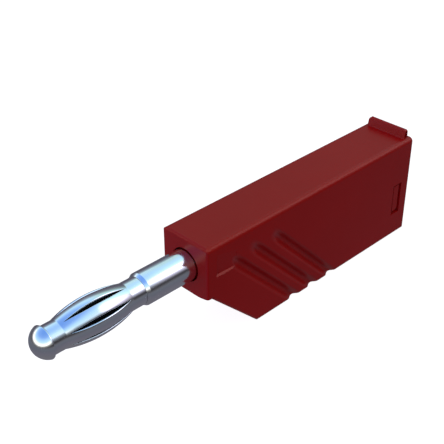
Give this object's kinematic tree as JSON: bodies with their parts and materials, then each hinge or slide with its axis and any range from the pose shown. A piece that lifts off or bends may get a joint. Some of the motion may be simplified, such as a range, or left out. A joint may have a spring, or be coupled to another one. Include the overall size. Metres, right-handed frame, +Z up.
{
  "type": "banana plug",
  "caption": "Lantern-type banana plug with a deep flat red moulded body, slanting finger grooves, latch windows and a rear socket for stacking.",
  "frame": {"origin": "on the pin axis, in the plane of the nose's front face", "axes": "+X forwards along the pin, +Y towards the side that the picture shows, +Z up from the bottom face"},
  "size_m": [0.0609, 0.0074, 0.0159],
  "materials": {
    "red_plastic": "satin moulded",
    "nickel": "bright nickel plate",
    "brass": "machined",
    "steel": "zinc plated"
  },
  "bodies": {
    "housing": {"housing": "red_plastic"},
    "insert": {"carrier": "red_plastic", "contact_stem": "nickel", "terminal_block": "brass", "pin_core": "nickel"},
    "lantern": {"lantern_spring": "nickel"},
    "plate": {"pressure_plate": "steel"},
    "screw": {"clamp_screw": "steel"}
  },
  "joints": [
    {"name": "insert_slide", "type": "slide", "parent": "housing", "child": "insert", "axis": [-1, 0, 0], "range_m": [0, 0.034], "deforming": ["lantern_spring", "carrier"]},
    {"name": "lantern_spin", "type": "hinge", "parent": "insert", "child": "lantern", "pos_m": [0.0135, 0, 0], "axis": [1, 0, 0], "continuous": true},
    {"name": "plate_slide", "type": "slide", "parent": "insert", "child": "plate", "axis": [0, 0, 1], "range_m": [0, 0.0023]},
    {"name": "screw_turn", "type": "hinge", "parent": "plate", "child": "screw", "pos_m": [-0.013, 0, -0.0085], "axis": [0, 0, 1], "range_deg": [0, 1656]}
  ],
  "couplings": [
    {"joint": "screw_turn", "follows": "plate_slide", "rad_per_m": 12566}
  ]
}
